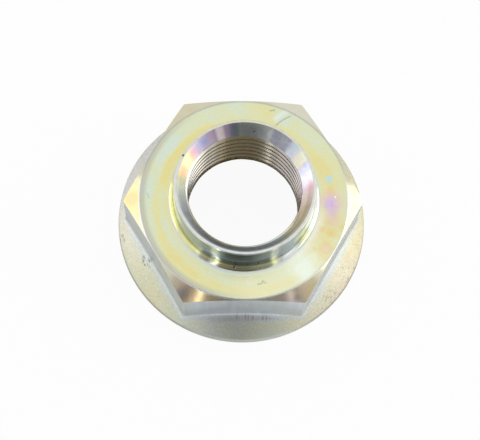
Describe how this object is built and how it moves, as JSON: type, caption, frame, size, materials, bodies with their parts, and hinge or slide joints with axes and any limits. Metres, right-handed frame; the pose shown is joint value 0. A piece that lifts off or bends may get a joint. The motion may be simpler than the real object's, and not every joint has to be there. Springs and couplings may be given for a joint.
{
  "type": "pinion nut",
  "caption": "Hexagon nut with a wide conical flange, a thin turned collar with a countersunk mouth, and a fine right-hand thread, for locking a pinion or hub onto its shaft.",
  "frame": {"origin": "centre of the flange's flat bearing face, on the bore's axis", "axes": "+Z along the bore axis, from the flange to the collar; -Y out of one flat of the hexagon; +X and -X through two of its corners"},
  "size_m": [0.0506, 0.0506, 0.0234],
  "materials": {
    "zinc_plated_steel": "satin yellow-passivated zinc plating with iridescent patches"
  },
  "bodies": {
    "root": {"pinion_nut": "zinc_plated_steel"}
  },
  "joints": []
}
